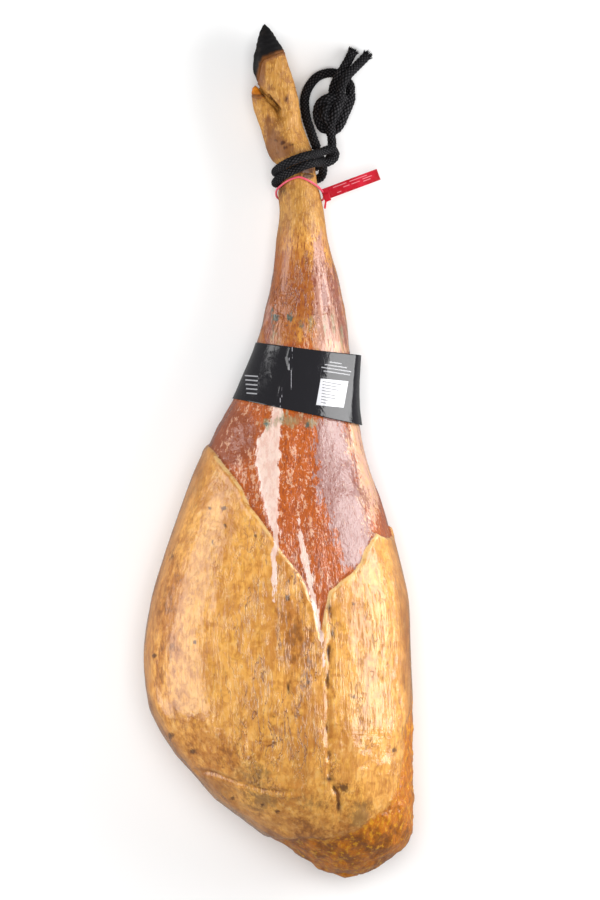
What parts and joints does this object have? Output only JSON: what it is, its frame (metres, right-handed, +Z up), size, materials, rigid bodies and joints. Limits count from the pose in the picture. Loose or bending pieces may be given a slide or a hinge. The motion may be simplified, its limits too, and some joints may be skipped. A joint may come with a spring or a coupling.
{
  "type": "cured ham",
  "caption": "Whole cured ham with its foot, lying on its back, with a knotted black rope, a red seal and a glossy black label band.",
  "frame": {"origin": "centre of the underside of the box round the ham and its seal, on the surface it rests on", "axes": "+Y along the leg towards the foot, +Z up out of the side that shows, +X to the right of that side"},
  "size_m": [0.2474, 0.7796, 0.1526],
  "materials": {
    "ham_surface": "oily cured rind and bare flesh, glossy, with an uneven waxy skin",
    "black_horn": "dull black horn, dusty in its grooves",
    "brown_horn": "pale orange-brown horn",
    "band_film": "creased glossy black film with a plain white panel",
    "seal_plastic": "moulded red plastic",
    "rope_braid": "braided black cord, slightly worn"
  },
  "bodies": {
    "root": {"ham": "ham_surface", "hoof_claw_upper": "black_horn", "hoof_claw_lower": "black_horn", "dewclaw_upper": "brown_horn", "dewclaw_lower": "brown_horn", "label_band": "band_film", "seal": "seal_plastic", "rope_noose": "rope_braid", "rope_knot": "rope_braid", "rope_arm_long": "rope_braid", "rope_tail_left": "rope_braid", "rope_tail_right": "rope_braid"}
  },
  "joints": []
}
